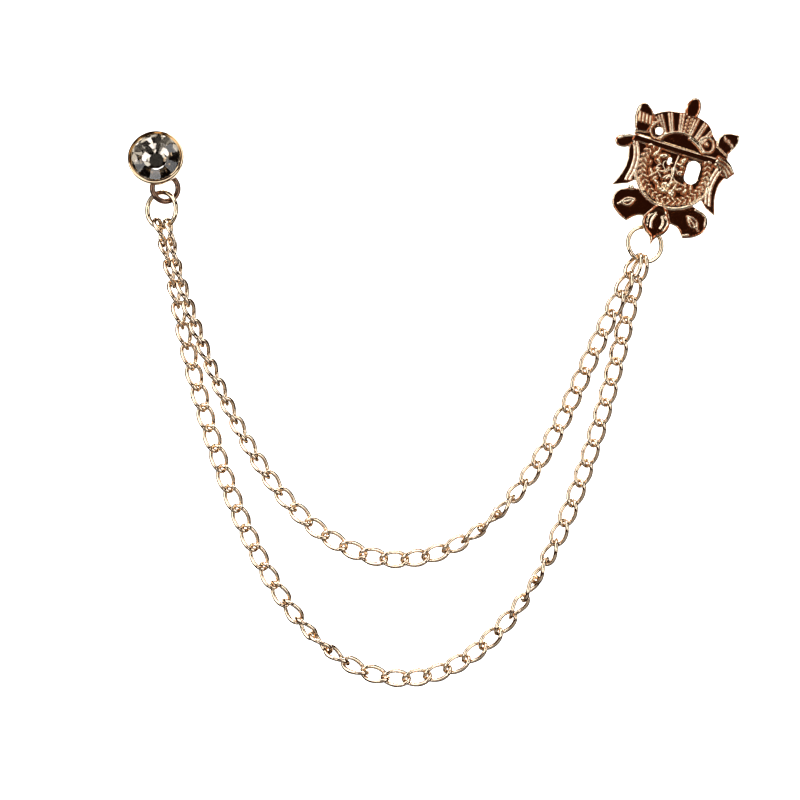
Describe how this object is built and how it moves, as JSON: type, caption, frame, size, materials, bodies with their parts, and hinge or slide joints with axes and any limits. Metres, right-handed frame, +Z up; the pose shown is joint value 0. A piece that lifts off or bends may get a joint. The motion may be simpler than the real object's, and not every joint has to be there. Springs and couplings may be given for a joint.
{
  "type": "lapel chain",
  "caption": "Lapel chain: a small cast crest brooch and a round crystal stud, each on a pin post, joined by two hanging curb-chain strands of different length.",
  "frame": {"origin": "middle of the round boss on the crest's back, where the brooch pins on, in the plane of the garment's face", "axes": "+Z up as worn, +X towards the viewer's right, -Y towards the viewer, +Y along the brooch's post into the garment"},
  "size_m": [0.1214, 0.0158, 0.1172],
  "materials": {
    "chain_gilt": "polished",
    "cast_gilt": "polished, dark in the recesses",
    "post_steel": "satin",
    "crystal": "clear, faceted"
  },
  "bodies": {
    "root": {"brooch_crest": "cast_gilt", "brooch_post": "post_steel", "brooch_jump_ring": "chain_gilt", "chain_outer": "chain_gilt", "chain_inner": "chain_gilt", "stud_bezel": "cast_gilt", "stud_stone": "crystal", "stud_post": "post_steel", "stud_jump_ring": "chain_gilt"}
  },
  "joints": []
}
